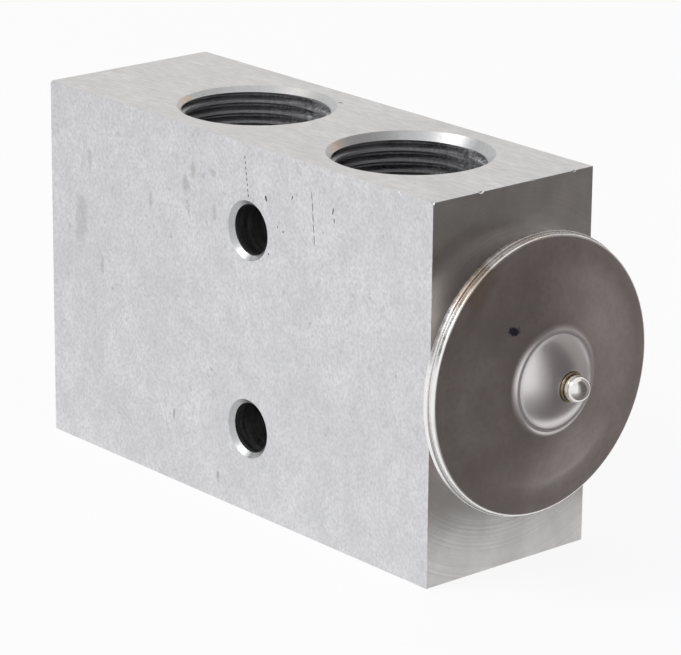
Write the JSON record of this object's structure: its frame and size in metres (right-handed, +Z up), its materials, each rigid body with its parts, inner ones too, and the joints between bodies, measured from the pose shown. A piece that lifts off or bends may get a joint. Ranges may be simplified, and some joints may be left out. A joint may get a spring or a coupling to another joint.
{
  "type": "air conditioning expansion valve block",
  "caption": "Aluminium valve block with threaded refrigerant ports, cross mounting holes and a round dished power head on one end.",
  "frame": {"origin": "middle of the block's flat bottom face, on which it stands", "axes": "+X along the block towards the power head, +Y across the block, +Z up towards the upper port face"},
  "size_m": [0.0947, 0.038, 0.052],
  "materials": {
    "block": "extruded bar, sides as drawn, port faces milled",
    "head_cover": "stainless, satin, slightly heat tinted",
    "head_base": "stainless, satin",
    "polished_ball": "polished",
    "spring_steel": "bright drawn",
    "turned_steel": "ground",
    "turned_brass": "turned",
    "turned_aluminium": "turned",
    "seal_rubber": "matt"
  },
  "bodies": {
    "block": {"valve_block": "block", "orifice_seat": "turned_steel", "head_base": "head_base", "head_seal": "seal_rubber", "diaphragm": "spring_steel", "head_cover": "head_cover", "charge_ball": "polished_ball", "rod_o_ring": "seal_rubber", "rod_seal_retainer": "spring_steel", "superheat_spring": "spring_steel"},
    "valve_train": {"diaphragm_pad": "turned_brass", "sensing_rod": "turned_aluminium", "push_rod": "turned_steel", "valve_ball": "polished_ball", "ball_carrier": "turned_brass", "damper_clip": "spring_steel"},
    "adjuster_ring": {"adjuster_o_ring": "seal_rubber"},
    "adjuster": {"adjuster_screw": "turned_brass"}
  },
  "joints": [
    {"name": "valve_stroke", "type": "slide", "parent": "block", "child": "valve_train", "axis": [-1, 0, 0], "range_m": [0, 0.0008], "stiffness_N_per_m": 8000, "springref_m": -0.002, "deforming": ["superheat_spring", "diaphragm"]},
    {"name": "adjuster_travel", "type": "slide", "parent": "block", "child": "adjuster_ring", "axis": [1, 0, 0], "range_m": [-0.001, 0.0015], "deforming": ["superheat_spring"]},
    {"name": "adjuster_turn", "type": "hinge", "parent": "adjuster_ring", "child": "adjuster", "pos_m": [-0.0392, 0, 0.0277], "axis": [1, 0, 0], "range_deg": [-360, 540]}
  ],
  "couplings": [
    {"joint": "adjuster_turn", "follows": "adjuster_travel", "rad_per_m": 6283.2}
  ]
}
